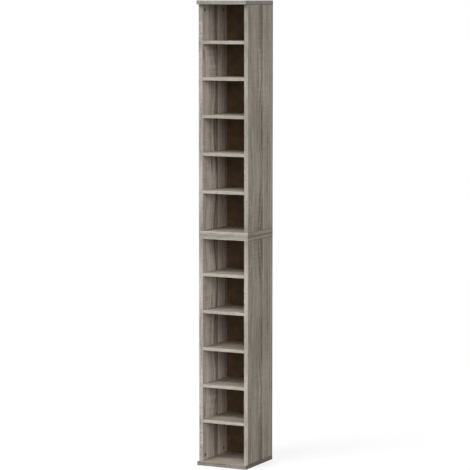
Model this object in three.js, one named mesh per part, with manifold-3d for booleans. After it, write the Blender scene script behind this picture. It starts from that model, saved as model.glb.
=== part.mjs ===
// A tall media tower: two stacked cases of six compartments between a base plate and a top plate.
// Millimetres, +Z up. The front faces -Y, and the origin is at the middle of the underside.

import * as THREE from "three";
import { mergeVertices } from "three/addons/utils/BufferGeometryUtils.js";
import Module from "manifold-3d";

const wasm = await Module();
wasm.setup();

// Overall sizes
const towerHeight = 1860;
const towerWidth = 218;
const caseDepth = 225;
const plateOverhang = 18; // base and top plates stand this far in front of the cases

// Boards
const plateThickness = 16;
const sideThickness = 17;
const shelfThickness = 13;
const backThickness = 3;
const edgeRound = 0.6; // the eased edge of every laminated board
const edgeRoundSteps = 2;
const seatGap = 0.1; // left between two boards that lie face to face

// Compartments
const compartmentCount = 6; // in each case
const endShelfShift = 6; // the tower's first and last shelves sit this much nearer the middle joint
const shelfEndClearance = 0.5;
const shelfSetback = 1; // behind the front edges of the sides
const shelfBackClearance = 2;

// The thin back, held in a groove
const backInset = 8; // from the back edges of the sides to the groove
const grooveDepth = 5;
const grooveClearance = 0.2; // on each side of the back and at its edges

// Shelf pins and the rows of holes they plug into
const pinRadius = 2.5;
const pinPegLength = 9;
const pinLedgeLength = 7;
const pinLedgeWidth = 9;
const pinLedgeRootRadius = 1.5; // rounds the lower corners of the ledge
const pinClearance = 0.1;
const pinRowInset = 20; // from the front edge of the side, and from the front of the back
const pinHoleDepth = 10;
const spareHoleStep = 32; // spare holes this far above and below each pin
const roundSides = 10; // facets of pins, bolts and their holes

// Cam locks that pull the sides onto the base plate and the top plate
const camRadius = 7.5;
const camDepth = 12.5;
const camEndDistance = 21; // from the end of the side to the middle of the cam
const camFrontInset = 20;
const camRearInset = 30; // from the front of the back
const camSides = 20;
const boltRadius = 3;
const boltReach = 10; // into the plate
const boltClearance = 0.2;

// Countersunk screws that hold the sides to the two middle plates, their heads hidden between the cases
const screwRadius = 3;
const screwHeadRadius = 5;
const screwHeadLength = 4;
const screwHeadSink = 0.3; // below the plate's face
const screwInside = 12; // joined to the side over this length
const screwClearance = 0.2;

// Dowels that line up the two cases
const dowelRadius = 4;
const dowelReach = 10;
const dowelSideInset = 45;
const dowelEndInset = 45;
const dowelClearance = 0.2;

const cutOverrun = 1; // a cut starts this far outside the face it enters
const weldDistance = 1e-4; // points of a mesh nearer than this are one

// Places worked out from the sizes above
const frontY = -(caseDepth + plateOverhang) / 2 + plateOverhang;
const backY = frontY + caseDepth;
const innerHalfWidth = towerWidth / 2 - sideThickness;
const backFaceY = backY - backInset - grooveClearance - backThickness;
const sideHeight = (towerHeight - 4 * plateThickness - 5 * seatGap) / 2;
const caseInside = sideHeight + 2 * seatGap;
const compartmentPitch = caseInside / compartmentCount;
const pinRows = [frontY + pinRowInset, backFaceY - pinRowInset];
const camRows = [frontY + camFrontInset, backFaceY - camRearInset];
const dowelRows = [frontY + dowelEndInset, backFaceY - dowelEndInset];

const lowerFloor = plateThickness;
const lowerCeiling = lowerFloor + caseInside;
const upperFloor = lowerCeiling + 2 * plateThickness + seatGap;
const upperCeiling = upperFloor + caseInside;

const laminate = { color: 0xa69f94, roughness: 0.55, metalness: 0 };
const hardboard = { color: 0x5f4935, roughness: 0.8, metalness: 0 };
const nickel = { color: 0xb9b6b0, roughness: 0.3, metalness: 1 };

// A closed geometry as a solid that can be joined and cut.
function toSolid(geometry) {
  const bare = geometry.index ? geometry.toNonIndexed() : geometry.clone();
  bare.deleteAttribute("normal");
  bare.deleteAttribute("uv");
  const merged = mergeVertices(bare, weldDistance);
  const vertProperties = new Float32Array(merged.attributes.position.array);
  const triVerts = new Uint32Array(merged.index.array);
  return new wasm.Manifold(new wasm.Mesh({ numProp: 3, vertProperties, triVerts }));
}

// A solid back as a geometry with flat shading.
function toGeometry(solid) {
  const mesh = solid.getMesh();
  const places = new THREE.BufferAttribute(new Float32Array(mesh.vertProperties), mesh.numProp);
  const shared = new THREE.BufferGeometry().setAttribute("position", places);
  shared.setIndex(new THREE.BufferAttribute(new Uint32Array(mesh.triVerts), 1));
  const flat = shared.toNonIndexed();
  flat.computeVertexNormals();
  return flat;
}

// Turns made by swapping axes, so that no place is rounded.
const toX = new THREE.Matrix4().set(0, 0, 1, 0, 1, 0, 0, 0, 0, 1, 0, 0, 0, 0, 0, 1);
const toMinusX = new THREE.Matrix4().set(0, 0, -1, 0, -1, 0, 0, 0, 0, 1, 0, 0, 0, 0, 0, 1);
const toZ = new THREE.Matrix4();

// A rectangular board centred on the origin, its thickness along the Z axis, with eased edges.
function board(width, length, thickness) {
  const x = width / 2 - edgeRound;
  const y = length / 2 - edgeRound;
  const outline = new THREE.Shape();
  outline.moveTo(-x, -y);
  outline.lineTo(x, -y);
  outline.lineTo(x, y);
  outline.lineTo(-x, y);
  outline.closePath();
  const flatDepth = thickness - 2 * edgeRound;
  const geometry = new THREE.ExtrudeGeometry(outline, {
    depth: flatDepth,
    bevelThickness: edgeRound,
    bevelSize: edgeRound,
    bevelSegments: edgeRoundSteps,
  });
  return geometry.translate(0, 0, -flatDepth / 2);
}

// A round rod of a length along an axis, from its start point.
function rod(radius, length, sides, turn, start) {
  const outline = new THREE.Shape();
  for (let i = 0; i < sides; i++) {
    const angle = (2 * Math.PI * i) / sides;
    const x = radius * Math.cos(angle);
    const y = radius * Math.sin(angle);
    if (i === 0) outline.moveTo(x, y);
    else outline.lineTo(x, y);
  }
  outline.closePath();
  const geometry = new THREE.ExtrudeGeometry(outline, { depth: length, bevelEnabled: false });
  return toSolid(geometry.applyMatrix4(turn).translate(...start));
}

// A cone cut off at both ends, upright, from its foot at a start point.
function frustum(footRadius, topRadius, length, start) {
  const [x, y, z] = start;
  const cone = new THREE.CylinderGeometry(topRadius, footRadius, length, roundSides);
  return toSolid(cone.applyMatrix4(toX).translate(x, y, z + length / 2));
}

// A block between two corners.
function block(low, high) {
  const size = high.map((value, i) => value - low[i]);
  const middle = high.map((value, i) => (value + low[i]) / 2);
  return toSolid(new THREE.BoxGeometry(...size).translate(...middle));
}

const tower = new THREE.Group();

function addPiece(name, geometry, finish, place) {
  const mesh = new THREE.Mesh(geometry, new THREE.MeshStandardMaterial(finish));
  mesh.name = name;
  mesh.position.set(...place);
  tower.add(mesh);
}

// The underside heights of a case's shelves, above the case's floor.
function shelfHeights(caseName) {
  const heights = [];
  for (let i = 1; i < compartmentCount; i++) {
    let height = i * compartmentPitch;
    if (caseName === "lower" && i === 1) height += endShelfShift;
    if (caseName === "upper" && i === compartmentCount - 1) height -= endShelfShift;
    heights.push(height);
  }
  return heights;
}

// The pin's ledge lies under the shelf, so the pin's middle is this far under the shelf.
const pinDrop = seatGap + pinRadius;

// A side panel in the tower's frame, its outer face at the tower's side. side is -1 for left.
function sidePanel(side, floor, heights) {
  const middleX = side * (towerWidth / 2 - sideThickness / 2);
  const middleZ = floor + seatGap + sideHeight / 2;
  const middleY = (frontY + backY) / 2;
  const flat = board(caseDepth, sideHeight, sideThickness);
  flat.applyMatrix4(toX).translate(middleX, middleY, middleZ);
  let panel = toSolid(flat);
  const innerX = side * innerHalfWidth;
  const inward = side < 0 ? toMinusX : toX;

  const cuts = [];
  const grooveX = [innerX - side * cutOverrun, innerX + side * grooveDepth].sort((a, b) => a - b);
  const grooveLow = [grooveX[0], backFaceY - grooveClearance, floor - cutOverrun];
  const grooveHigh = [grooveX[1], backY - backInset, floor + caseInside + cutOverrun];
  cuts.push(block(grooveLow, grooveHigh));

  const holeStart = innerX - side * cutOverrun;
  const holeLength = pinHoleDepth + cutOverrun;
  for (const y of pinRows) {
    for (const height of heights) {
      for (const step of [-spareHoleStep, 0, spareHoleStep]) {
        const z = floor + height - pinDrop + step;
        cuts.push(rod(pinRadius + pinClearance, holeLength, roundSides, inward, [holeStart, y, z]));
      }
    }
  }

  // The cams and bolts are at the tower's end of the panel, the screws at its middle.
  const outward = floor === lowerFloor ? -1 : 1;
  const ends = [floor + seatGap, floor + seatGap + sideHeight];
  const camEnd = outward < 0 ? ends[0] : ends[1];
  const screwEnd = outward < 0 ? ends[1] : ends[0];
  const camZ = camEnd - outward * camEndDistance;
  for (const y of camRows) {
    cuts.push(rod(camRadius, camDepth + cutOverrun, camSides, inward, [holeStart, y, camZ]));
  }
  panel = cutAll(panel, cuts);

  // Each bolt runs from its cam out of the panel's end.
  const boltInside = camEndDistance - camRadius;
  const boltStart = outward < 0 ? camEnd - boltReach : camEnd - boltInside;
  for (const y of camRows) {
    const place = [middleX, y, boltStart];
    panel = panel.add(rod(boltRadius, boltReach + boltInside, roundSides, toZ, place));
    for (const part of screw(middleX, y, screwEnd, -outward, 0)) panel = panel.add(part);
  }
  return toGeometry(panel);
}

// The shank and head of a screw through a middle plate, from the end of a side at height z, grown by
// a clearance where it is a bore. up is 1 for a screw that points out of the side upwards.
function screw(x, y, z, up, clearance) {
  const inside = clearance > 0 ? cutOverrun : screwInside;
  const headTop = seatGap + plateThickness - screwHeadSink;
  const headFoot = headTop - screwHeadLength;
  const shankRadius = screwRadius + clearance;
  const headRadius = screwHeadRadius + clearance;
  const shankZ = up > 0 ? z - inside : z - headFoot;
  const parts = [rod(shankRadius, inside + headFoot, roundSides, toZ, [x, y, shankZ])];
  if (up > 0) {
    parts.push(frustum(shankRadius, headRadius, screwHeadLength, [x, y, z + headFoot]));
  } else {
    parts.push(frustum(headRadius, shankRadius, screwHeadLength, [x, y, z - headTop]));
  }
  if (clearance > 0) {
    const mouthZ = up > 0 ? z + headTop : z - headTop - screwHeadSink - cutOverrun;
    const mouthLength = screwHeadSink + cutOverrun;
    parts.push(rod(headRadius, mouthLength, roundSides, toZ, [x, y, mouthZ]));
  }
  return parts;
}

// Countersunk bores for the screws of both sides, through a middle plate. z is the end of the sides.
function screwBores(z, up) {
  const bores = [];
  for (const side of [-1, 1]) {
    const x = side * (towerWidth / 2 - sideThickness / 2);
    for (const y of camRows) bores.push(...screw(x, y, z, up, screwClearance));
  }
  return bores;
}

// Bores for the bolts of both sides, in the face of a plate at height z. up is 1 for a top face.
function boltBores(z, up) {
  const bores = [];
  const length = boltReach + boltClearance + cutOverrun;
  const startZ = up > 0 ? z - boltReach - boltClearance : z - cutOverrun;
  for (const side of [-1, 1]) {
    for (const y of camRows) {
      const x = side * (towerWidth / 2 - sideThickness / 2);
      bores.push(rod(boltRadius + boltClearance, length, roundSides, toZ, [x, y, startZ]));
    }
  }
  return bores;
}

// The groove that takes the back's end, in the face of a plate at height z.
function backGroove(z, up) {
  const halfWidth = innerHalfWidth + grooveDepth;
  const startZ = up > 0 ? z - grooveDepth : z - cutOverrun;
  const endZ = up > 0 ? z + cutOverrun : z + grooveDepth;
  const low = [-halfWidth, backFaceY - grooveClearance, startZ];
  const high = [halfWidth, backY - backInset, endZ];
  return block(low, high);
}

// Pegs or bores for the dowels between the cases, from z over a length.
function dowels(radius, z, length) {
  const pegs = [];
  for (const side of [-1, 1]) {
    for (const y of dowelRows) {
      const x = side * (towerWidth / 2 - dowelSideInset);
      pegs.push(rod(radius, length, roundSides, toZ, [x, y, z]));
    }
  }
  return pegs;
}

function plate(depth, underside) {
  const middleY = backY - depth / 2;
  const flat = board(towerWidth, depth, plateThickness);
  return toSolid(flat.translate(0, middleY, underside + plateThickness / 2));
}

function cutAll(solid, cuts) {
  return cuts.reduce((rest, cut) => rest.subtract(cut), solid);
}

// Base plate
const fullDepth = caseDepth + plateOverhang;
const baseCuts = [...boltBores(lowerFloor, 1), backGroove(lowerFloor, 1)];
addPiece("base_plate", toGeometry(cutAll(plate(fullDepth, 0), baseCuts)), laminate, [0, 0, 0]);

// Ceiling of the lower case, with the dowels that stand out of it
let lowerTop = plate(caseDepth, lowerCeiling);
const lowerTopBores = screwBores(lowerCeiling - seatGap, 1);
lowerTop = cutAll(lowerTop, [...lowerTopBores, backGroove(lowerCeiling, -1)]);
const dowelFoot = lowerCeiling + plateThickness - dowelReach;
for (const peg of dowels(dowelRadius, dowelFoot, 2 * dowelReach)) lowerTop = lowerTop.add(peg);
addPiece("lower_ceiling_plate", toGeometry(lowerTop), laminate, [0, 0, 0]);

// Floor of the upper case, with bores over the dowels
const upperUnderside = upperFloor - plateThickness;
const dowelBoreLength = dowelReach + dowelClearance + cutOverrun;
const upperFloorCuts = [
  ...screwBores(upperFloor + seatGap, -1),
  backGroove(upperFloor, 1),
  ...dowels(dowelRadius + dowelClearance, upperUnderside - cutOverrun, dowelBoreLength),
];
const upperFloorSolid = cutAll(plate(caseDepth, upperUnderside), upperFloorCuts);
addPiece("upper_floor_plate", toGeometry(upperFloorSolid), laminate, [0, 0, 0]);

// Top plate
const topCuts = [...boltBores(upperCeiling, -1), backGroove(upperCeiling, -1)];
addPiece("top_plate", toGeometry(cutAll(plate(fullDepth, upperCeiling), topCuts)), laminate, [0, 0, 0]);

// One shelf pin: a peg in the side and a flat-topped ledge under the shelf. side is -1 for left.
function pinGeometry(side) {
  const inward = side < 0 ? toX : toMinusX;
  const halfWidth = pinLedgeWidth / 2;
  const r = pinLedgeRootRadius;
  const outline = new THREE.Shape();
  outline.moveTo(halfWidth, pinRadius);
  outline.lineTo(-halfWidth, pinRadius);
  outline.lineTo(-halfWidth, -pinRadius + r);
  outline.quadraticCurveTo(-halfWidth, -pinRadius, -halfWidth + r, -pinRadius);
  outline.lineTo(halfWidth - r, -pinRadius);
  outline.quadraticCurveTo(halfWidth, -pinRadius, halfWidth, -pinRadius + r);
  outline.closePath();
  const ledge = new THREE.ExtrudeGeometry(outline, {
    depth: pinLedgeLength,
    curveSegments: edgeRoundSteps,
    bevelEnabled: false,
  });
  const pegStart = side * pinPegLength;
  const peg = rod(pinRadius, pinPegLength + pinLedgeLength / 2, roundSides, inward, [pegStart, 0, 0]);
  return toGeometry(toSolid(ledge.applyMatrix4(inward)).add(peg));
}

const pins = { left: pinGeometry(-1), right: pinGeometry(1) };
const shelfWidth = 2 * (innerHalfWidth - shelfEndClearance);
const shelfDepth = backFaceY - shelfBackClearance - frontY - shelfSetback;
const shelfY = frontY + shelfSetback + shelfDepth / 2;
const rowNames = ["front", "rear"];

// Each case: two sides, a back, and its shelves on four pins each
const cases = [
  ["lower", lowerFloor],
  ["upper", upperFloor],
];
for (const [caseName, floor] of cases) {
  const heights = shelfHeights(caseName);
  addPiece(caseName + "_left_side", sidePanel(-1, floor, heights), laminate, [0, 0, 0]);
  addPiece(caseName + "_right_side", sidePanel(1, floor, heights), laminate, [0, 0, 0]);

  const backWidth = 2 * (innerHalfWidth + grooveDepth - grooveClearance);
  const backHeight = caseInside + 2 * (grooveDepth - grooveClearance);
  const back = new THREE.BoxGeometry(backWidth, backThickness, backHeight);
  const backMiddle = [0, backFaceY + backThickness / 2, floor + caseInside / 2];
  addPiece(caseName + "_back_panel", back, hardboard, backMiddle);

  heights.forEach((height, index) => {
    const name = caseName + "_shelf_" + (index + 1);
    const shelf = board(shelfWidth, shelfDepth, shelfThickness);
    addPiece(name, shelf, laminate, [0, shelfY, floor + height + shelfThickness / 2]);
    for (const [sideName, side] of [["left", -1], ["right", 1]]) {
      pinRows.forEach((y, row) => {
        const pinName = [name, "pin", sideName, rowNames[row]].join("_");
        const x = side * (innerHalfWidth - seatGap);
        addPiece(pinName, pins[sideName].clone(), nickel, [x, y, floor + height - pinDrop]);
      });
    }
  });
}

export default tower;
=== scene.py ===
import math
import bmesh
import bpy
from mathutils import Matrix, Vector


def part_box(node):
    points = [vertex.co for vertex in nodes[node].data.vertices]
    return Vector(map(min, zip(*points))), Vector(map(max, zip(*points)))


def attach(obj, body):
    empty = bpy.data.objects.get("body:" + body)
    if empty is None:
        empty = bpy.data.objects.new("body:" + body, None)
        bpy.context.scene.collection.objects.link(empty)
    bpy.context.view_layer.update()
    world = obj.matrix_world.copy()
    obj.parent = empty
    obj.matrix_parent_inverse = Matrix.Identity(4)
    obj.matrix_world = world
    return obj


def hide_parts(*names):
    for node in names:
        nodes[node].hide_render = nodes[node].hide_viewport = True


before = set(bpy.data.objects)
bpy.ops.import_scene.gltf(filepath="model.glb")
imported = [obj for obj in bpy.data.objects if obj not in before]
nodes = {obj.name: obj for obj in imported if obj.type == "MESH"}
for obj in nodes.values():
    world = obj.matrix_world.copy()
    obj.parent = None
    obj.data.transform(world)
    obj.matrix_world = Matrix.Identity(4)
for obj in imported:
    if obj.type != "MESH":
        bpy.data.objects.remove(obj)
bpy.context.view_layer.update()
carcass = "carcass"  # the body of all that doesn't slide
mm = 0.001
print("frame loaded:", len(nodes), "pieces")


# Node helpers

def setInput(tree, socket, value):
    if isinstance(value, bpy.types.NodeSocket):
        tree.links.new(value, socket)
    else:
        socket.default_value = value


def addNode(tree, kind, inputs=None, **settings):
    node = tree.nodes.new(kind)
    for name, value in settings.items():
        setattr(node, name, value)
    for key, value in (inputs or {}).items():
        setInput(tree, node.inputs[key], value)
    return node


def linkAll(tree, sockets, values):
    for label, value in values.items():
        tree.links.new(value, sockets[label])


def calc(tree, operation, *values):
    return addNode(tree, "ShaderNodeMath", dict(enumerate(values)), operation=operation).outputs[0]


def vectorCalc(tree, operation, *values):
    node = addNode(tree, "ShaderNodeVectorMath", dict(enumerate(values)), operation=operation)
    return node.outputs["Value" if operation in ("DOT_PRODUCT", "LENGTH") else "Vector"]


def noise(tree, vector, scale, detail, roughness):
    inputs = {"Vector": vector, "Scale": scale, "Detail": detail, "Roughness": roughness}
    return addNode(tree, "ShaderNodeTexNoise", inputs).outputs["Fac"]


# Takes a value from between low and high to the same place between start and end
def spread(tree, value, low, high, start=0.0, end=1.0):
    inputs = {"Value": value, "From Min": low, "From Max": high, "To Min": start, "To Max": end}
    return addNode(tree, "ShaderNodeMapRange", inputs).outputs["Result"]


# The first value where the mask is 0, and the second where it is 1
def choose(tree, mask, first, second):
    return spread(tree, mask, 0.0, 1.0, first, second)


def blendColour(tree, factor, first, second, how="MIX"):
    inputs = {0: factor, 6: first, 7: second}  # by number, because the node's socket names repeat
    return addNode(tree, "ShaderNodeMix", inputs, data_type="RGBA", blend_type=how).outputs[2]


def vectorOf(tree, x=0.0, y=0.0, z=0.0):
    return addNode(tree, "ShaderNodeCombineXYZ", {"X": x, "Y": y, "Z": z}).outputs[0]


def partsOf(tree, vector):
    return addNode(tree, "ShaderNodeSeparateXYZ", {0: vector}).outputs


def objectPlace(tree):
    return addNode(tree, "ShaderNodeTexCoord").outputs["Object"]


def faceNormal(tree):
    return addNode(tree, "ShaderNodeNewGeometry").outputs["True Normal"]


def linkBump(tree, shader, height, distance):
    bump = addNode(tree, "ShaderNodeBump", {"Height": height, "Distance": distance, "Strength": 1.0})
    tree.links.new(bump.outputs["Normal"], shader.inputs["Normal"])


def newGroup(name, inputs, outputs):
    tree = bpy.data.node_groups.new(name, "ShaderNodeTree")
    for direction, sockets in (("INPUT", inputs), ("OUTPUT", outputs)):
        for label, kind in sockets:
            tree.interface.new_socket(label, in_out=direction, socket_type="NodeSocket" + kind)
    return tree, tree.nodes.new("NodeGroupInput").outputs, tree.nodes.new("NodeGroupOutput").inputs


def useGroup(tree, group, inputs):
    return addNode(tree, "ShaderNodeGroup", inputs, node_tree=group).outputs


spaceLook = {
    "faceShift": (0.3690, 1.3705, 2.2310),  # sets the print off on each face, so that no two match
    "halfStep": (0.5, 0.5, 0.5),  # added before rounding down, so that a normal goes to the nearest axis
}


# Where the print runs on each face of a board: along its length, and along the width on its end faces
def makeBoardSpace():
    look = spaceLook
    inputs = [("Long", "Vector"), ("Wide", "Vector"), ("Thick", "Vector"), ("Shift", "Float")]
    outputs = [("Print", "Vector"), ("Facing", "Vector"), ("On End", "Float"), ("On Edge", "Float")]
    tree, given, out = newGroup("boardSpace", inputs, outputs)
    place = objectPlace(tree)
    facing = vectorCalc(tree, "FLOOR", vectorCalc(tree, "ADD", faceNormal(tree), look["halfStep"]))
    onEnd = calc(tree, "ABSOLUTE", vectorCalc(tree, "DOT_PRODUCT", facing, given["Long"]))
    onFront = calc(tree, "ABSOLUTE", vectorCalc(tree, "DOT_PRODUCT", facing, given["Wide"]))
    onEdge = calc(tree, "MAXIMUM", onEnd, onFront)
    lengthPlace = vectorCalc(tree, "DOT_PRODUCT", place, given["Long"])
    widePlace = vectorCalc(tree, "DOT_PRODUCT", place, given["Wide"])
    thickPlace = vectorCalc(tree, "DOT_PRODUCT", place, given["Thick"])
    along = choose(tree, onEnd, lengthPlace, widePlace)
    across = choose(tree, onEdge, widePlace, thickPlace)
    across = calc(tree, "ADD", across, vectorCalc(tree, "DOT_PRODUCT", facing, look["faceShift"]))
    along = calc(tree, "ADD", along, given["Shift"])
    linkAll(tree, out, {"Print": vectorOf(tree, along, across), "Facing": facing, "On End": onEnd,
                        "On Edge": onEdge})
    return tree


# Distance from a point on a board's face to the nearest edge of the board, and how deep a point lies
# under the board's faces, in metres. What stands out of the board has a depth below zero.
def makeEdgeDistance():
    inputs = [("Middle", "Vector"), ("Half", "Vector")]
    outputs = [("Distance", "Float"), ("Depth", "Float")]
    tree, given, out = newGroup("edgeDistance", inputs, outputs)
    offset = vectorCalc(tree, "ABSOLUTE", vectorCalc(tree, "SUBTRACT", objectPlace(tree), given["Middle"]))
    x, y, z = partsOf(tree, vectorCalc(tree, "SUBTRACT", given["Half"], offset))
    smaller = calc(tree, "MINIMUM", x, y)
    larger = calc(tree, "MAXIMUM", x, y)
    second = calc(tree, "MAXIMUM", smaller, calc(tree, "MINIMUM", larger, z))
    linkAll(tree, out, {"Distance": calc(tree, "MAXIMUM", second, 0.0),
                        "Depth": calc(tree, "MINIMUM", smaller, z)})
    return tree


oakLook = {  # lengths in metres
    "light": (0.520, 0.480, 0.412, 1.0),
    "plain": (0.365, 0.330, 0.278, 1.0),
    "dark": (0.145, 0.114, 0.081, 1.0),
    "pore": (0.110, 0.083, 0.058, 1.0),
    "toneStops": (-0.12, 0.5, 1.0),  # dark, plain and light
    "plank": 0.13275,  # width of one printed plank
    "seedStep": 7.31,  # from one plank to the next
    # Each layer has its repeats for each metre along and across the grain, its start, detail and roughness
    "coreWander": (5.0, 0.0, 0.0, 2.0, 0.55),
    "drift": (1.6, 7.0, 0.0, 2.0, 0.5),
    "fibre": (12.0, 520.0, 0.0, 2.0, 0.6),
    "streak": (2.2, 95.0, 20.0, 2.0, 0.6),
    "band": (0.7, 26.0, 40.0, 1.0, 0.5),
    "patch": (2.2, 5.0, 60.0, 1.0, 0.5),
    "fleck": (20.0, 150.0, 70.0, 2.0, 0.6),
    "pores": (34.0, 1300.0, 90.0, 1.0, 0.5),
    "saw": (140.0, 7.0, 80.0, 4.0, 0.7),  # faint marks across the grain
    "sawPlace": (3.2, 9.0, 85.0, 1.0, 0.5),  # they lie in clusters
    "noiseMiddle": 0.5,
    "noiseRange": (0.3, 0.7),  # where most of a layer's values lie
    "coreWidth": 0.034,  # the dark heart along a plank's edge, on average
    "coreSwing": 0.030,
    "coreEvery": 0.42,  # the heart widens once in this length
    "coreFade": 0.3,  # what is left of that swing after each metre of the print
    "coreWanderReach": 0.008,
    "coreBorder": (-0.003, 0.006),  # the heart fades out over this stretch
    "coreLeast": (0.002, 0.012),  # a narrower heart fades away
    "bendReach": 0.12,  # the lines bend round the heart up to about this distance
    "driftReach": 0.007,
    "ringReach": (0.004, 0.030),  # fine rings show up to this distance from the heart
    "ringRate": 900.0,
    "lightLineWidth": 0.011,
    "tones": {"fibre": 0.80, "streak": 1.70, "band": 0.75, "patch": 0.45, "fleck": 0.95,
              "inCore": -0.42, "lightLine": 0.22, "heartless": 0.05, "rings": 0.08},
    "plainTone": 0.5,
    "sawTone": (1.15, 1.75),  # on the faces, on the edge bands
    "sawFiner": 3.5,  # on the edge bands the saw marks are this many times shorter
    "sawClusters": (0.48, 0.66, 0.18, 1.0),  # outside and inside a cluster, and the marks' strength there
    "breathTone": (0.09, 0.23),
    "calm": 0.62,  # how much weaker the grain is on the edge bands
    "bandLift": 0.12,
    "poreLimits": (0.62, 0.72),
    "poreStrength": (0.75, 0.35, 0.15, 0.70),  # from a light tone to a dark one
    "roughness": (0.1, 0.9, 0.60, 0.48),  # from a dark tone to a light one
    "relief": {"fibre": 0.45, "pores": -0.8, "saw": 0.5},
}


# The oak print: planks side by side with fibres, streaks, pores and saw marks, and in every second plank
# a dark heart that widens and narrows
def makeOakPrint():
    look = oakLook
    inputs = [("Print", "Vector"), ("Seed", "Float"), ("Heart", "Float"), ("Edge", "Float")]
    outputs = [("Color", "Color"), ("Roughness", "Float"), ("Height", "Float")]
    tree, given, out = newGroup("oakPrint", inputs, outputs)
    along, across = partsOf(tree, given["Print"])[:2]
    edge = given["Edge"]
    plankPlace = calc(tree, "DIVIDE", across, look["plank"])
    plank = calc(tree, "FLOOR", plankPlace)
    left = calc(tree, "SUBTRACT", calc(tree, "ADD", plank, 1.0), plankPlace)
    toEdge = calc(tree, "MULTIPLY", left, look["plank"])
    seed = calc(tree, "MULTIPLY_ADD", plank, look["seedStep"], given["Seed"])
    heartless = calc(tree, "ABSOLUTE", calc(tree, "MODULO", plank, 2.0))  # 1 on the planks without a heart
    heart = calc(tree, "MULTIPLY", calc(tree, "SUBTRACT", 1.0, heartless), given["Heart"])

    def layer(name, crossPlace):
        alongRate, acrossRate, start, detail, roughness = look[name]
        u = calc(tree, "MULTIPLY", along, alongRate)
        v = calc(tree, "MULTIPLY", crossPlace, acrossRate)
        return noise(tree, vectorOf(tree, u, v, calc(tree, "ADD", seed, start)), 1.0, detail, roughness)

    def wander(name, reach):
        return spread(tree, layer(name, across), *look["noiseRange"], -reach, reach)

    fade = calc(tree, "POWER", look["coreFade"], calc(tree, "ABSOLUTE", along))
    breath = calc(tree, "COSINE", calc(tree, "MULTIPLY", along, 2 * math.pi / look["coreEvery"]))
    breath = calc(tree, "MULTIPLY", breath, fade)
    core = calc(tree, "ADD", calc(tree, "MULTIPLY", breath, look["coreSwing"]), look["coreWidth"])
    core = calc(tree, "ADD", core, wander("coreWander", look["coreWanderReach"]))
    core = calc(tree, "MULTIPLY", core, heart)
    fallOff = calc(tree, "EXPONENT", calc(tree, "MULTIPLY", toEdge, -1 / look["bendReach"]))
    bent = calc(tree, "SUBTRACT", toEdge, calc(tree, "MULTIPLY", core, fallOff))
    bent = calc(tree, "ADD", bent, wander("drift", look["driftReach"]))

    fibre = layer("fibre", bent)
    streak = layer("streak", bent)
    band = layer("band", bent)
    patch = layer("patch", across)
    fleck = layer("fleck", bent)
    sawPlace = spread(tree, layer("sawPlace", across), *look["sawClusters"])
    sawAcross = calc(tree, "MULTIPLY", across, choose(tree, edge, 1.0, look["sawFiner"]))
    sawLine = calc(tree, "SUBTRACT", layer("saw", sawAcross), look["noiseMiddle"])
    saw = calc(tree, "MULTIPLY", sawLine, sawPlace)
    inCore = calc(tree, "MULTIPLY", spread(tree, bent, *look["coreBorder"], 1.0, 0.0), heart)
    inCore = calc(tree, "MULTIPLY", inCore, spread(tree, core, *look["coreLeast"]))
    halo = calc(tree, "MULTIPLY", spread(tree, bent, *look["ringReach"], 1.0, 0.0), heart)
    wave = calc(tree, "SINE", calc(tree, "MULTIPLY", bent, look["ringRate"]))
    rings = calc(tree, "MULTIPLY", wave, halo)
    pastEdge = calc(tree, "SUBTRACT", look["plank"], toEdge)
    lightLine = calc(tree, "EXPONENT", calc(tree, "MULTIPLY", pastEdge, -1 / look["lightLineWidth"]))
    lightLine = calc(tree, "MULTIPLY", lightLine, heartless)

    def addTones(total, values, middle=None):
        for name, value in values.items():
            if middle is not None:
                value = calc(tree, "SUBTRACT", value, middle)
            total = calc(tree, "MULTIPLY_ADD", value, look["tones"][name], total)
        return total

    broad = addTones(0.0, {"streak": streak, "band": band, "patch": patch}, look["noiseMiddle"])
    fine = addTones(look["plainTone"], {"fibre": fibre, "fleck": fleck}, look["noiseMiddle"])
    tone = calc(tree, "MULTIPLY_ADD", broad, choose(tree, edge, 1.0, 1.0 - look["calm"]), fine)
    tone = calc(tree, "MULTIPLY_ADD", edge, look["bandLift"], tone)
    tone = calc(tree, "MULTIPLY_ADD", saw, choose(tree, edge, *look["sawTone"]), tone)
    darkening = calc(tree, "MULTIPLY", breath, choose(tree, edge, *look["breathTone"]))
    tone = calc(tree, "SUBTRACT", tone, darkening)
    tone = addTones(tone, {"inCore": inCore, "lightLine": lightLine, "heartless": heartless,
                           "rings": rings})

    darkest, middle, lightest = look["toneStops"]
    colour = blendColour(tree, spread(tree, tone, darkest, middle), look["dark"], look["plain"])
    colour = blendColour(tree, spread(tree, tone, middle, lightest), colour, look["light"])
    pores = spread(tree, layer("pores", bent), *look["poreLimits"])
    pores = calc(tree, "MULTIPLY", pores, spread(tree, tone, *look["poreStrength"]))
    colour = blendColour(tree, pores, colour, look["pore"])
    relief = look["relief"]
    height = calc(tree, "MULTIPLY", pores, relief["pores"])
    height = calc(tree, "MULTIPLY_ADD", fibre, relief["fibre"], height)
    height = calc(tree, "MULTIPLY_ADD", saw, relief["saw"], height)
    linkAll(tree, out, {"Color": colour, "Roughness": spread(tree, tone, *look["roughness"]),
                        "Height": height})
    return tree


chipLook = {
    "chips": (950.0, 380.0),  # for each metre across and along the board
    "ruffles": (300.0, 2.0, 0.5),  # of the chips' outlines, for each metre, with their detail and roughness
    "ruffleReach": 2 * mm,
    "pale": (0.56, 0.42, 0.27, 1.0),
    "plain": (0.40, 0.275, 0.155, 1.0),
    "dark": (0.20, 0.12, 0.062, 1.0),
    "darkShare": 0.12,
    "darkBlend": 0.05,
}


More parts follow.
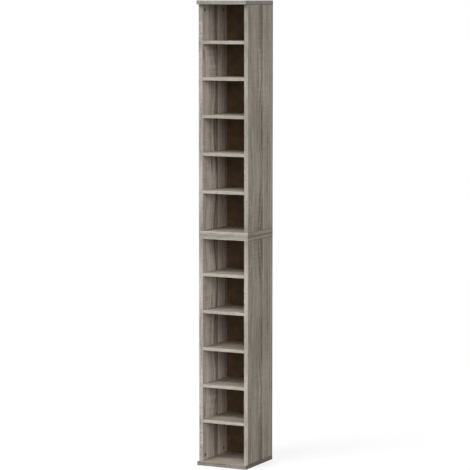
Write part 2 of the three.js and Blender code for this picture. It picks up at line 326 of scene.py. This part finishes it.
# Raw chipboard, as it shows on the edges that carry no band
def makeChipboard():
    look = chipLook
    outputs = [("Color", "Color"), ("Height", "Float")]
    tree, given, out = newGroup("chipboard", [("Stretch", "Vector")], outputs)
    place = objectPlace(tree)
    ruffle = noise(tree, place, *look["ruffles"])
    shift = vectorOf(tree, calc(tree, "MULTIPLY", ruffle, look["ruffleReach"]))
    stretched = vectorCalc(tree, "MULTIPLY", vectorCalc(tree, "ADD", place, shift), given["Stretch"])
    cell = addNode(tree, "ShaderNodeTexVoronoi", {"Vector": stretched, "Scale": 1.0}).outputs["Color"]
    first, second, third = addNode(tree, "ShaderNodeSeparateColor", {0: cell}).outputs
    colour = blendColour(tree, first, look["plain"], look["pale"])
    darkFrom = 1.0 - look["darkShare"]
    darkMask = spread(tree, second, darkFrom, darkFrom + look["darkBlend"])
    linkAll(tree, out, {"Color": blendColour(tree, darkMask, colour, look["dark"]),
                        "Height": calc(tree, "ADD", third, ruffle)})
    return tree


boardSpace = makeBoardSpace()
edgeDistance = makeEdgeDistance()
oakPrint = makeOakPrint()
chipboard = makeChipboard()
print("node groups made")


def newMaterial(name, **fixed):
    material = bpy.data.materials.new(name)
    material.use_nodes = True
    tree = material.node_tree
    shader = tree.nodes["Principled BSDF"]
    for label, value in fixed.items():
        shader.inputs[label.replace("_", " ")].default_value = value
    return material, tree, shader


boardLook = {
    "specular": 0.25,
    "bumpDepth": 0.08 * mm,
    "faceTint": (1.0, 0.962, 0.935, 1.0),  # the faces are a little browner than the edge bands
    "bandTint": (0.960, 0.985, 1.020, 1.0),
    "bandSeam": 0.9 * mm,  # the joint between a face and its edge band lies this far from the edge
    "seamWidth": 0.22 * mm,
    "seamStrength": 0.5,
    "seamRelief": -0.6,
    "seamColour": (0.17, 0.145, 0.12, 1.0),
    # lighter edges: wear, and a painted highlight of the eased edges
    "wearAndHighlightWidth": 1.3 * mm,
    "wearAndHighlightStrength": 0.6,
    "wearAndHighlightPatches": (45.0, 3.0, 0.6),  # for each metre, with their detail and roughness
    "wearAndHighlightRange": (0.4, 0.7),
    "wornRoughness": 0.15,
    "wearAndHighlightColour": (0.56, 0.52, 0.45, 1.0),
    "skinDepth": 0.9 * mm,  # deeper in a hole or groove the raw board shows
    "skinBlend": 0.2 * mm,
    "rawLine": 0.8 * mm,  # dark outline of a raw edge
    "rawLineStrength": 0.75,
    "rawRelief": 1.5,
    "rawRoughness": 0.85,
    "jointWidth": (0.4 * mm, 2.6 * mm),  # the dark line where boards meet at the sides: painted shade in the gap between them
    "jointStrength": 0.85,
    "jointColour": (0.085, 0.066, 0.048, 1.0),
    "meetingWidth": (1.0 * mm, 13.0 * mm),  # the two plates at half height grow darker towards each other, painted shade between them, and lighter away from it, painted light
    "meetingPaintedShadeAndLight": ((0.84, 0.84, 0.84, 1.0), (1.22, 1.22, 1.20, 1.0)),
    "facingLimits": (0.5, 0.6),  # between the 0 of other faces and the 1 of a face that looks this way
    "fittingDepth": (-0.08 * mm, -0.03 * mm),  # a fitting starts this far out of the board
}

axisX, axisY, axisZ = (1.0, 0.0, 0.0), (0.0, 1.0, 0.0), (0.0, 0.0, 1.0)
leftward, frontward = (-1.0, 0.0, 0.0), (0.0, -1.0, 0.0)

printAndPaintedShadeLook = {  # print that differs between boards, with painted shade and painted light
    # painted shade: the outer right faces darker as the side turned from the light, the lower case more,
    # towards the floor
    "lower_right_side": [(axisX, (0.74, 0.74, 0.73, 1.0)), (frontward, (1.06, 1.06, 1.06, 1.0))],
    "upper_right_side": [(axisX, (0.79, 0.79, 0.78, 1.0)), (frontward, (0.90, 0.90, 0.91, 1.0))],
    # painted light: the inner faces of the left sides lighter and bluer
    "lower_left_side": [(axisX, (1.26, 1.27, 1.37, 1.0)), (frontward, (1.18, 1.18, 1.18, 1.0))],
    "upper_left_side": [(axisX, (1.26, 1.27, 1.37, 1.0)), (frontward, (1.08, 1.08, 1.09, 1.0))],
    # painted shade: the plates' right ends darker, like the right sides
    "lower_ceiling_plate": [(axisX, (0.59, 0.55, 0.50, 1.0)), (frontward, (0.94, 0.94, 0.93, 1.0)),
                            (leftward, (0.80, 0.75, 0.68, 1.0))],
    "upper_floor_plate": [(axisX, (0.68, 0.63, 0.58, 1.0)), (frontward, (0.94, 0.94, 0.93, 1.0)),
                          (leftward, (0.84, 0.79, 0.72, 1.0))],
    "top_plate": [(frontward, (0.78, 0.78, 0.78, 1.0)), (axisX, (0.58, 0.54, 0.50, 1.0)),
                  (leftward, (0.70, 0.66, 0.61, 1.0))],
    # painted shade on the base plate's two ends near the floor, and painted light on its top from above
    "base_plate": [(frontward, (0.62, 0.62, 0.61, 1.0)), (axisX, (0.29, 0.27, 0.24, 1.0)),
                   (leftward, (0.5, 0.48, 0.44, 1.0)), (axisZ, (1.10, 1.10, 1.10, 1.0))],
    "lower_shelf": [(frontward, (1.10, 1.09, 1.10, 1.0))],  # one entry for all five shelves of a case
    "upper_shelf": [(frontward, (1.04, 1.04, 1.05, 1.0))],
}

# What stands out of these boards: steel bolts and screws, and beech dowels
steel = {"colour": (0.52, 0.50, 0.47, 1.0), "roughness": 0.38, "metal": True}
beech = {"colour": (0.60, 0.44, 0.28, 1.0), "roughness": 0.75, "metal": False}
fittings = {name: steel for name in nodes if name.endswith("_side")}
fittings["lower_ceiling_plate"] = beech

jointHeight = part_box("upper_floor_plate")[0].z  # the two cases meet here, and the prints run away from it


# The corners of a board alone, without the bolts, screws or dowels that stand out of it
def boardBox(name):
    low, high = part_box(name)
    if name.endswith("_side"):
        below, above = "base_plate", "lower_ceiling_plate"
        if name.startswith("upper"):
            below, above = "upper_floor_plate", "top_plate"
        low.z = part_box(below)[1].z
        high.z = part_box(above)[0].z
    if name == "lower_ceiling_plate":
        high.z = jointHeight
    return low, high


def makeBoardMaterial(name, grain, rawFaces, printAndPaintedShades):
    look = boardLook
    material, tree, shader = newMaterial(name + "_oak", Specular_IOR_Level=look["specular"])
    low, high = boardBox(name)
    middle, half = (low + high) / 2, (high - low) / 2
    space = useGroup(tree, boardSpace, {"Long": grain["long"], "Wide": axisY, "Thick": grain["thick"],
                                        "Shift": grain["shift"]})
    onFace = calc(tree, "SUBTRACT", 1.0, space["On Edge"])
    heart = calc(tree, "MULTIPLY", onFace, grain["heart"])
    oak = useGroup(tree, oakPrint, {"Print": space["Print"], "Seed": grain["seed"], "Heart": heart,
                                    "Edge": space["On Edge"]})
    measured = useGroup(tree, edgeDistance, {"Middle": middle, "Half": half})
    edge, depth = measured["Distance"], measured["Depth"]
    place = objectPlace(tree)

    def fromHeight(height):
        return calc(tree, "ABSOLUTE", calc(tree, "SUBTRACT", partsOf(tree, place)[2], height))

    def facesWay(direction):
        towards = vectorCalc(tree, "DOT_PRODUCT", space["Facing"], direction)
        return spread(tree, towards, *look["facingLimits"])

    # lighter patches along every edge: wear, and a painted highlight where the eased edges catch the light
    wearAndHighlightPatchMask = spread(tree, noise(tree, place, *look["wearAndHighlightPatches"]), *look["wearAndHighlightRange"])
    wearAndHighlight = spread(tree, edge, 0.0, look["wearAndHighlightWidth"], look["wearAndHighlightStrength"], 0.0)
    wearAndHighlight = calc(tree, "MULTIPLY", wearAndHighlight, wearAndHighlightPatchMask)
    tint = blendColour(tree, onFace, look["bandTint"], look["faceTint"])
    colour = blendColour(tree, 1.0, oak["Color"], tint, "MULTIPLY")
    colour = blendColour(tree, wearAndHighlight, colour, look["wearAndHighlightColour"])

    toEnd, meets = edge, space["On End"]
    if name.endswith("_side"):
        toEnd, meets = calc(tree, "SUBTRACT", half.z, fromHeight(middle.z)), onFace
    # painted shade: a dark line where a board meets the next one
    jointShade = spread(tree, toEnd, *look["jointWidth"], look["jointStrength"], 0.0)
    colour = blendColour(tree, calc(tree, "MULTIPLY", jointShade, meets), colour, look["jointColour"])
    # painted shade where the two plates meet at half height, painted light away from the joint
    if name in ("lower_ceiling_plate", "upper_floor_plate"):
        apart = spread(tree, fromHeight(jointHeight), *look["meetingWidth"])
        meetingShadeAndLight = blendColour(tree, apart, *look["meetingPaintedShadeAndLight"])
        colour = blendColour(tree, space["On Edge"], colour, meetingShadeAndLight, "MULTIPLY")
    # print differences, painted shade and painted light on the faces named in the table
    for direction, shade in printAndPaintedShades:
        colour = blendColour(tree, facesWay(direction), colour, shade, "MULTIPLY")
    fromSeam = calc(tree, "ABSOLUTE", calc(tree, "SUBTRACT", edge, look["bandSeam"]))
    seam = spread(tree, fromSeam, 0.0, look["seamWidth"], look["seamStrength"], 0.0)
    colour = blendColour(tree, seam, colour, look["seamColour"])
    relief = calc(tree, "MULTIPLY_ADD", seam, look["seamRelief"], oak["Height"])

    fine, coarse = chipLook["chips"]
    stretch = (coarse, fine, fine) if grain["long"] == axisX else (fine, fine, coarse)
    raw = useGroup(tree, chipboard, {"Stretch": stretch})
    rawMask = spread(tree, depth, look["skinDepth"], look["skinDepth"] + look["skinBlend"])
    for direction in rawFaces:
        rawMask = calc(tree, "MAXIMUM", rawMask, facesWay(direction))
    rawEdge = spread(tree, edge, 0.0, look["rawLine"], look["rawLineStrength"], 0.0)
    rawColour = blendColour(tree, rawEdge, raw["Color"], look["jointColour"])
    colour = blendColour(tree, rawMask, colour, rawColour)
    relief = choose(tree, rawMask, relief, calc(tree, "MULTIPLY", raw["Height"], look["rawRelief"]))
    roughness = calc(tree, "MULTIPLY_ADD", wearAndHighlight, look["wornRoughness"], oak["Roughness"])
    roughness = choose(tree, rawMask, roughness, look["rawRoughness"])
    if name in fittings:
        fitting = fittings[name]
        outside = spread(tree, depth, *look["fittingDepth"], 1.0, 0.0)
        colour = blendColour(tree, outside, colour, fitting["colour"])
        roughness = choose(tree, outside, roughness, fitting["roughness"])
        if fitting["metal"]:
            tree.links.new(outside, shader.inputs["Metallic"])
    linkAll(tree, shader.inputs, {"Base Color": colour, "Roughness": roughness})
    linkBump(tree, shader, relief, look["bumpDepth"])
    return material


def dress(obj, material):
    if obj.material_slots:
        for item in obj.material_slots:
            item.material = material
    else:
        obj.data.materials.append(material)


grainLook = {
    "sideSeeds": {"left": 8.2, "right": 3.0},
    "sideHeart": 1.0,
    "firstSeed": 11.0,  # of the plates and shelves
    "seedStep": 1.7,
    "firstShift": 0.9,  # how far along the print the first plate or shelf is cut, in metres
    "shiftStep": 0.41,
    "flatHeart": 0.6,
}


# How the print runs on a side, upwards from the joint or downwards from it
def sideGrain(name):
    look = grainLook
    upward = 1.0 if name.startswith("upper") else -1.0
    seed = look["sideSeeds"]["right" if "_right_" in name else "left"]
    return {"long": (0.0, 0.0, upward), "thick": axisX, "shift": -upward * jointHeight, "seed": seed,
            "heart": look["sideHeart"]}


# How it runs on a plate or a shelf, from left to right
def flatGrain(index):
    look = grainLook
    return {"long": axisX, "thick": axisZ, "shift": look["firstShift"] + look["shiftStep"] * index,
            "seed": look["firstSeed"] + look["seedStep"] * index, "heart": look["flatHeart"]}


boards = sorted(n for n in nodes if "_pin_" not in n and "back_panel" not in n)
for index, name in enumerate(boards):
    grain = sideGrain(name) if name.endswith("_side") else flatGrain(index)
    rawFaces = [axisY, axisX, leftward] if "_shelf_" in name else [axisY]
    printAndPaintedShades = printAndPaintedShadeLook.get(name.rstrip("_12345"), [])  # a shelf's name without its number
    dress(nodes[name], makeBoardMaterial(name, grain, rawFaces, printAndPaintedShades))
print("boards dressed:", len(boards))


backLook = {
    "specular": 0.3,
    "plain": (0.165, 0.098, 0.050, 1.0),
    "dark": (0.085, 0.048, 0.024, 1.0),
    "clouds": (30.0, 4.0, 0.6),  # for each metre, with their detail and roughness
    "fibres": (900.0, 3.0, 0.7),
    "mixRange": (0.38, 0.62),
    "rearLimits": (0.4, 0.6),  # the normal's part along +Y, on other faces and on the rear
    "screen": 620.0,  # the fabric-like print of the press on the rear face, in ridges for each metre
    "screenRange": (0.2, 1.0),
    "screenShade": 0.25,
    "fibreRelief": 0.4,
    "roughness": (0.5, 0.85),  # inside, at the rear
    "bumpDepth": 0.12 * mm,
}


def makeHardboard():
    look = backLook
    material, tree, shader = newMaterial("hardboard", Specular_IOR_Level=look["specular"])
    place = objectPlace(tree)
    parts = partsOf(tree, place)
    rear = spread(tree, partsOf(tree, faceNormal(tree))[1], *look["rearLimits"])
    cloud = noise(tree, place, *look["clouds"])
    fibre = noise(tree, place, *look["fibres"])
    mix = calc(tree, "MULTIPLY", calc(tree, "ADD", cloud, fibre), 0.5)
    colour = blendColour(tree, spread(tree, mix, *look["mixRange"]), look["dark"], look["plain"])
    turn = 2 * math.pi * look["screen"]
    ridgeX = calc(tree, "SINE", calc(tree, "MULTIPLY", parts[0], turn))
    ridgeZ = calc(tree, "SINE", calc(tree, "MULTIPLY", parts[2], turn))
    screen = calc(tree, "MULTIPLY", calc(tree, "MAXIMUM", ridgeX, ridgeZ), rear)
    shade = calc(tree, "MULTIPLY", spread(tree, screen, *look["screenRange"]), look["screenShade"])
    linkAll(tree, shader.inputs, {"Base Color": blendColour(tree, shade, colour, look["dark"]),
                                  "Roughness": choose(tree, rear, *look["roughness"])})
    height = calc(tree, "MULTIPLY_ADD", fibre, look["fibreRelief"], screen)
    linkBump(tree, shader, height, look["bumpDepth"])
    return material


hardboard = makeHardboard()
for caseName in ("lower", "upper"):
    dress(nodes[caseName + "_back_panel"], hardboard)
print("backs dressed")


metalLook = {
    "clouds": (260.0, 3.0, 0.6),  # for each metre, with their detail and roughness
    "cloudRange": (0.35, 0.7),
    "scuffs": (1400.0, 4.0, 0.7),
    "scuffRange": (0.3, 0.7),
    "bumpDepth": 0.02 * mm,
    "nickel": {"colour": (0.33, 0.31, 0.28, 1.0), "darker": (0.22, 0.205, 0.185, 1.0),
               "roughness": (0.30, 0.46)},
    "zinc": {"colour": (0.26, 0.235, 0.205, 1.0), "darker": (0.15, 0.135, 0.118, 1.0),
             "roughness": (0.42, 0.60)},
}


def makeMetal(name):
    look, own = metalLook, metalLook[name]
    material, tree, shader = newMaterial(name, Metallic=1.0)
    place = objectPlace(tree)
    cloud = spread(tree, noise(tree, place, *look["clouds"]), *look["cloudRange"])
    scuff = noise(tree, place, *look["scuffs"])
    colour = blendColour(tree, cloud, own["colour"], own["darker"])
    roughness = spread(tree, scuff, *look["scuffRange"], *own["roughness"])
    linkAll(tree, shader.inputs, {"Base Color": colour, "Roughness": roughness})
    linkBump(tree, shader, scuff, look["bumpDepth"])
    return material


# Modelling helpers

alongAxis = 0.9  # a face looks along an axis when its normal reaches this far along it
smoothBelow = math.radians(35)


def startPiece():
    bpy.ops.object.select_all(action="DESELECT")


def chooseOnly(obj):
    startPiece()
    obj.select_set(True)
    bpy.context.view_layer.objects.active = obj


def pickInEditMode(obj, faceTest=None, edgeTest=None):
    mesh = bmesh.from_edit_mesh(obj.data)
    for item in list(mesh.verts) + list(mesh.edges) + list(mesh.faces):
        item.select = False
    for items, test in ((mesh.faces, faceTest), (mesh.edges, edgeTest)):
        for item in items:
            if test and test(item):
                item.select_set(True)
    mesh.select_flush_mode()
    bmesh.update_edit_mesh(obj.data)


def combine(obj, tool, operation):
    modifier = obj.modifiers.new("combine", "BOOLEAN")
    modifier.object = tool
    modifier.operation = operation
    modifier.solver = "EXACT"
    chooseOnly(obj)
    bpy.ops.object.modifier_apply(modifier=modifier.name)
    bpy.data.objects.remove(tool)


def settle(obj):  # puts the place, turn and size of a piece into its mesh
    chooseOnly(obj)
    bpy.ops.object.transform_apply(location=True, rotation=True, scale=True)


def finishPiece(obj, material):
    chooseOnly(obj)
    bpy.ops.object.shade_smooth_by_angle(angle=smoothBelow)
    obj.data.materials.append(material)
    return obj


def copyPiece(source, name, turn, place):
    piece = source.copy()
    piece.data = source.data.copy()
    piece.name = name
    bpy.context.scene.collection.objects.link(piece)
    piece.data.transform(Matrix.Translation(place) @ turn)
    return piece


camLook = {
    "sides": 48,
    "radius": 7.2 * mm,
    "height": 11.0 * mm,
    "sunk": 0.4 * mm,  # below the panel's face
    "endDistance": 21.1 * mm,  # from the plate's face to the middle of the cam
    "frontInset": 20.0 * mm,  # from the side's front edge
    "rearInset": 30.0 * mm,  # from the back
    "rimWidth": 0.9 * mm,
    "rimRound": 0.35 * mm,
    "rimSteps": 3,
    "faceDepth": 0.35 * mm,  # inside the rim
    "crossLength": 7.0 * mm,
    "crossWidth": 1.7 * mm,
    "crossDepth": 3.0 * mm,
    "crossTaper": 0.6,
    "arrowSize": 1.5 * mm,
    "arrowPlace": 5.3 * mm,
    "arrowHeight": 1.2 * mm,
}


# A cam disc with its face up at the origin and its arrow along +Y
def modelCam():
    look = camLook
    startPiece()
    bpy.ops.mesh.primitive_cylinder_add(vertices=look["sides"], radius=look["radius"],
                                        depth=look["height"], location=(0, 0, -look["height"] / 2))
    disc = bpy.context.object
    settle(disc)

    def looksUp(face):
        return face.normal.z > alongAxis

    def isMiddle(face):
        return looksUp(face) and face.calc_center_median().length < look["rimWidth"]

    def isRim(edge):  # the edges round the top, on the outside
        ends = [v.co for v in edge.verts]
        onTop = all(end.z > -look["faceDepth"] / 2 for end in ends)
        return onTop and all(end.xy.length > look["radius"] - look["rimWidth"] / 2 for end in ends)

    bpy.ops.object.mode_set(mode="EDIT")
    pickInEditMode(disc, faceTest=looksUp)
    bpy.ops.mesh.inset(thickness=look["rimWidth"])
    pickInEditMode(disc, faceTest=isMiddle)
    bpy.ops.mesh.extrude_region_move(TRANSFORM_OT_translate={"value": (0, 0, -look["faceDepth"])})
    pickInEditMode(disc, edgeTest=isRim)
    bpy.ops.mesh.bevel(offset=look["rimRound"], segments=look["rimSteps"], affect="EDGES")
    bpy.ops.object.mode_set(mode="OBJECT")

    for angle in (0.0, math.pi / 2):
        startPiece()
        bpy.ops.mesh.primitive_cube_add(size=1.0, location=(0, 0, -look["crossDepth"] / 2),
                                        rotation=(0, 0, angle))
        arm = bpy.context.object
        arm.scale = (look["crossLength"], look["crossWidth"], look["crossDepth"])
        settle(arm)
        bpy.ops.object.mode_set(mode="EDIT")
        pickInEditMode(arm, faceTest=lambda f: f.normal.z < -alongAxis)
        bpy.ops.transform.resize(value=(look["crossTaper"], look["crossTaper"], 1.0))
        bpy.ops.object.mode_set(mode="OBJECT")
        combine(disc, arm, "DIFFERENCE")

    startPiece()
    bpy.ops.mesh.primitive_cylinder_add(vertices=3, radius=look["arrowSize"], depth=look["arrowHeight"],
                                        location=(0, look["arrowPlace"], -look["faceDepth"]))
    combine(disc, bpy.context.object, "DIFFERENCE")
    return finishPiece(disc, makeMetal("zinc"))


camSource = modelCam()
camCount = 0
for caseName in ("lower", "upper"):
    for sideName, side in (("left", -1), ("right", 1)):
        panelLow, panelHigh = boardBox(f"{caseName}_{sideName}_side")
        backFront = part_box(f"{caseName}_back_panel")[0].y
        innerX = panelHigh.x if side < 0 else panelLow.x
        z, arrow = panelLow.z + camLook["endDistance"], -1
        if caseName == "upper":
            z, arrow = panelHigh.z - camLook["endDistance"], 1
        faceIn = Vector((-side, 0, 0))
        arrowUp = Vector((0, 0, arrow))
        turn = Matrix((arrowUp.cross(faceIn), arrowUp, faceIn)).transposed().to_4x4()
        rows = {"front": panelLow.y + camLook["frontInset"], "rear": backFront - camLook["rearInset"]}
        for rowName, y in rows.items():
            place = Vector((innerX + side * camLook["sunk"], y, z))
            cam = copyPiece(camSource, f"{caseName}_{sideName}_cam_{rowName}", turn, place)
            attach(cam, carcass)
            camCount += 1
bpy.data.objects.remove(camSource)
print("cam discs placed:", camCount)


pinLook = {
    "pegRadius": 2.45 * mm,
    "pegLength": 9.0 * mm,
    "pegSides": 28,
    "pegEndRound": 0.6 * mm,
    "pegEndSteps": 2,
    "ledgeRound": 1.1 * mm,
    "ledgeSteps": 4,
}


# A shelf pin as it lies in the left side: the peg towards -X, the ledge towards +X
def modelPin(length, width, height):
    look = pinLook
    pegLength = look["pegLength"]
    ledgeLength = length - pegLength
    startPiece()
    bpy.ops.mesh.primitive_cube_add(size=1.0, location=(ledgeLength / 2, 0, 0))
    ledge = bpy.context.object
    ledge.scale = (ledgeLength, width, height)
    settle(ledge)

    def isRounded(edge):  # the lower edges but the one at the root, and the upright edges at the tip
        ends = [v.co for v in edge.verts]
        low = all(end.z < 0 for end in ends)
        upright = abs(ends[0].z - ends[1].z) > height / 2
        atTip = all(end.x > ledgeLength / 2 for end in ends)
        atRoot = all(end.x < ledgeLength / 2 for end in ends)
        return (low and not atRoot) or (upright and atTip)

    bpy.ops.object.mode_set(mode="EDIT")
    pickInEditMode(ledge, edgeTest=isRounded)
    bpy.ops.mesh.bevel(offset=look["ledgeRound"], segments=look["ledgeSteps"], affect="EDGES")
    bpy.ops.object.mode_set(mode="OBJECT")

    startPiece()
    bpy.ops.mesh.primitive_cylinder_add(vertices=look["pegSides"], radius=look["pegRadius"],
                                        depth=pegLength + ledgeLength / 2,
                                        location=((ledgeLength / 2 - pegLength) / 2, 0, 0),
                                        rotation=(0, math.pi / 2, 0))
    peg = bpy.context.object
    settle(peg)
    bpy.ops.object.mode_set(mode="EDIT")
    pickInEditMode(peg, edgeTest=lambda e: all(v.co.x < -pegLength / 2 for v in e.verts))
    bpy.ops.mesh.bevel(offset=look["pegEndRound"], segments=look["pegEndSteps"], affect="EDGES")
    bpy.ops.object.mode_set(mode="OBJECT")
    combine(ledge, peg, "UNION")
    return finishPiece(ledge, makeMetal("nickel"))


pinNodes = sorted(n for n in nodes if "_pin_" in n)
firstLow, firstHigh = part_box(pinNodes[0])
pinSource = modelPin(*(firstHigh - firstLow))
for name in pinNodes:
    low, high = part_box(name)
    place = (low + high) / 2
    if "_left_" in name:
        place.x = low.x + pinLook["pegLength"]
        turn = Matrix.Identity(4)
    else:
        place.x = high.x - pinLook["pegLength"]
        turn = Matrix.Rotation(math.pi, 4, "Z")
    pin = copyPiece(pinSource, name + "_made", turn, place)
    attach(pin, carcass)
    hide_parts(name)
bpy.data.objects.remove(pinSource)
print("shelf pins placed:", len(pinNodes))


# Camera at the photograph's angle

cameraLook = {
    "place": (4.1266, -8.2120, 1.8627),
    "azimuth": 26.68,  # degrees
    "tilt": 5.83,
    "lens": 176.55,
    "sensor": 36.0,
    "farthest": 100.0,
}


def makeCamera():
    look = cameraLook
    data = bpy.data.cameras.new("camera")
    data.lens = look["lens"]
    data.sensor_width = look["sensor"]
    data.sensor_fit = "HORIZONTAL"
    data.clip_end = look["farthest"]
    camera = bpy.data.objects.new("camera", data)
    camera.location = look["place"]
    camera.rotation_euler = (math.radians(90 - look["tilt"]), 0, math.radians(look["azimuth"]))
    bpy.context.scene.collection.objects.link(camera)
    bpy.context.scene.camera = camera


makeCamera()
print("camera placed")


# Pale floor, white surroundings and soft studio lights

white = (1.0, 1.0, 1.0, 1.0)

studioLook = {
    "worldStrength": 0.20,
    "floorColour": (0.25, 0.25, 0.25, 1.0),
    "floorLift": 0.78,  # added for the camera, so that the lit floor is white and the shadow stays
    "whiteFrom": 0.9,  # further out than this, in metres, the floor fades to plain white
    "whiteAt": 2.6,
    "floorSize": 60.0,
}


def seenRays(tree):
    path = addNode(tree, "ShaderNodeLightPath").outputs
    seen = calc(tree, "MAXIMUM", path["Is Camera Ray"], path["Is Glossy Ray"])
    return calc(tree, "MAXIMUM", seen, path["Is Transmission Ray"])


def makeWorld():
    world = bpy.data.worlds.new("studio")
    bpy.context.scene.world = world
    world.use_nodes = True
    tree = world.node_tree
    tree.nodes.clear()
    strength = studioLook["worldStrength"]
    lighting = addNode(tree, "ShaderNodeBackground", {"Color": white, "Strength": strength}).outputs[0]
    backdrop = addNode(tree, "ShaderNodeBackground", {"Color": white, "Strength": 1.0}).outputs[0]
    mix = addNode(tree, "ShaderNodeMixShader", {0: seenRays(tree), 1: lighting, 2: backdrop})
    addNode(tree, "ShaderNodeOutputWorld", {"Surface": mix.outputs[0]})


def makeFloor():
    look = studioLook
    startPiece()
    bpy.ops.mesh.primitive_plane_add(size=look["floorSize"], location=(0, 0, 0))
    floor = bpy.context.object
    floor.name = "floor"
    material, tree, shader = newMaterial("floor", Roughness=1.0, Specular_IOR_Level=0.0)
    shader.inputs["Base Color"].default_value = look["floorColour"]
    away = spread(tree, vectorCalc(tree, "LENGTH", objectPlace(tree)), look["whiteFrom"], look["whiteAt"])
    seen = seenRays(tree)
    strength = calc(tree, "MULTIPLY", seen, look["floorLift"])
    lift = addNode(tree, "ShaderNodeEmission", {"Color": white, "Strength": strength}).outputs[0]
    near = addNode(tree, "ShaderNodeAddShader", {0: shader.outputs[0], 1: lift}).outputs[0]
    far = addNode(tree, "ShaderNodeEmission", {"Color": white, "Strength": 1.0}).outputs[0]
    faded = calc(tree, "MULTIPLY", away, seen)
    both = addNode(tree, "ShaderNodeMixShader", {0: faded, 1: near, 2: far}).outputs[0]
    tree.links.new(both, tree.nodes["Material Output"].inputs["Surface"])
    floor.data.materials.append(material)


# Each lamp shines evenly from the direction given, as wide and soft as its angle in degrees
lightLook = {
    "key": {"from": (-0.29, -0.62, 0.73), "strength": 2.02, "angle": 36.0},
    "fill": {"from": (0.66, -0.69, 0.27), "strength": 1.97, "angle": 44.0},
    "back": {"from": (-0.45, 0.72, 0.53), "strength": 1.20, "angle": 38.0},
}
lampDistance = 5.0


def makeLights():
    for name, look in lightLook.items():
        data = bpy.data.lights.new(name, "SUN")
        data.angle = math.radians(look["angle"])
        data.energy = look["strength"]
        lamp = bpy.data.objects.new(name, data)
        lamp.location = Vector(look["from"]) * lampDistance
        lamp.rotation_euler = (-Vector(look["from"])).to_track_quat("-Z", "Y").to_euler()
        bpy.context.scene.collection.objects.link(lamp)


makeWorld()
makeFloor()
makeLights()
bpy.context.scene.view_settings.view_transform = "Standard"
print("studio made")
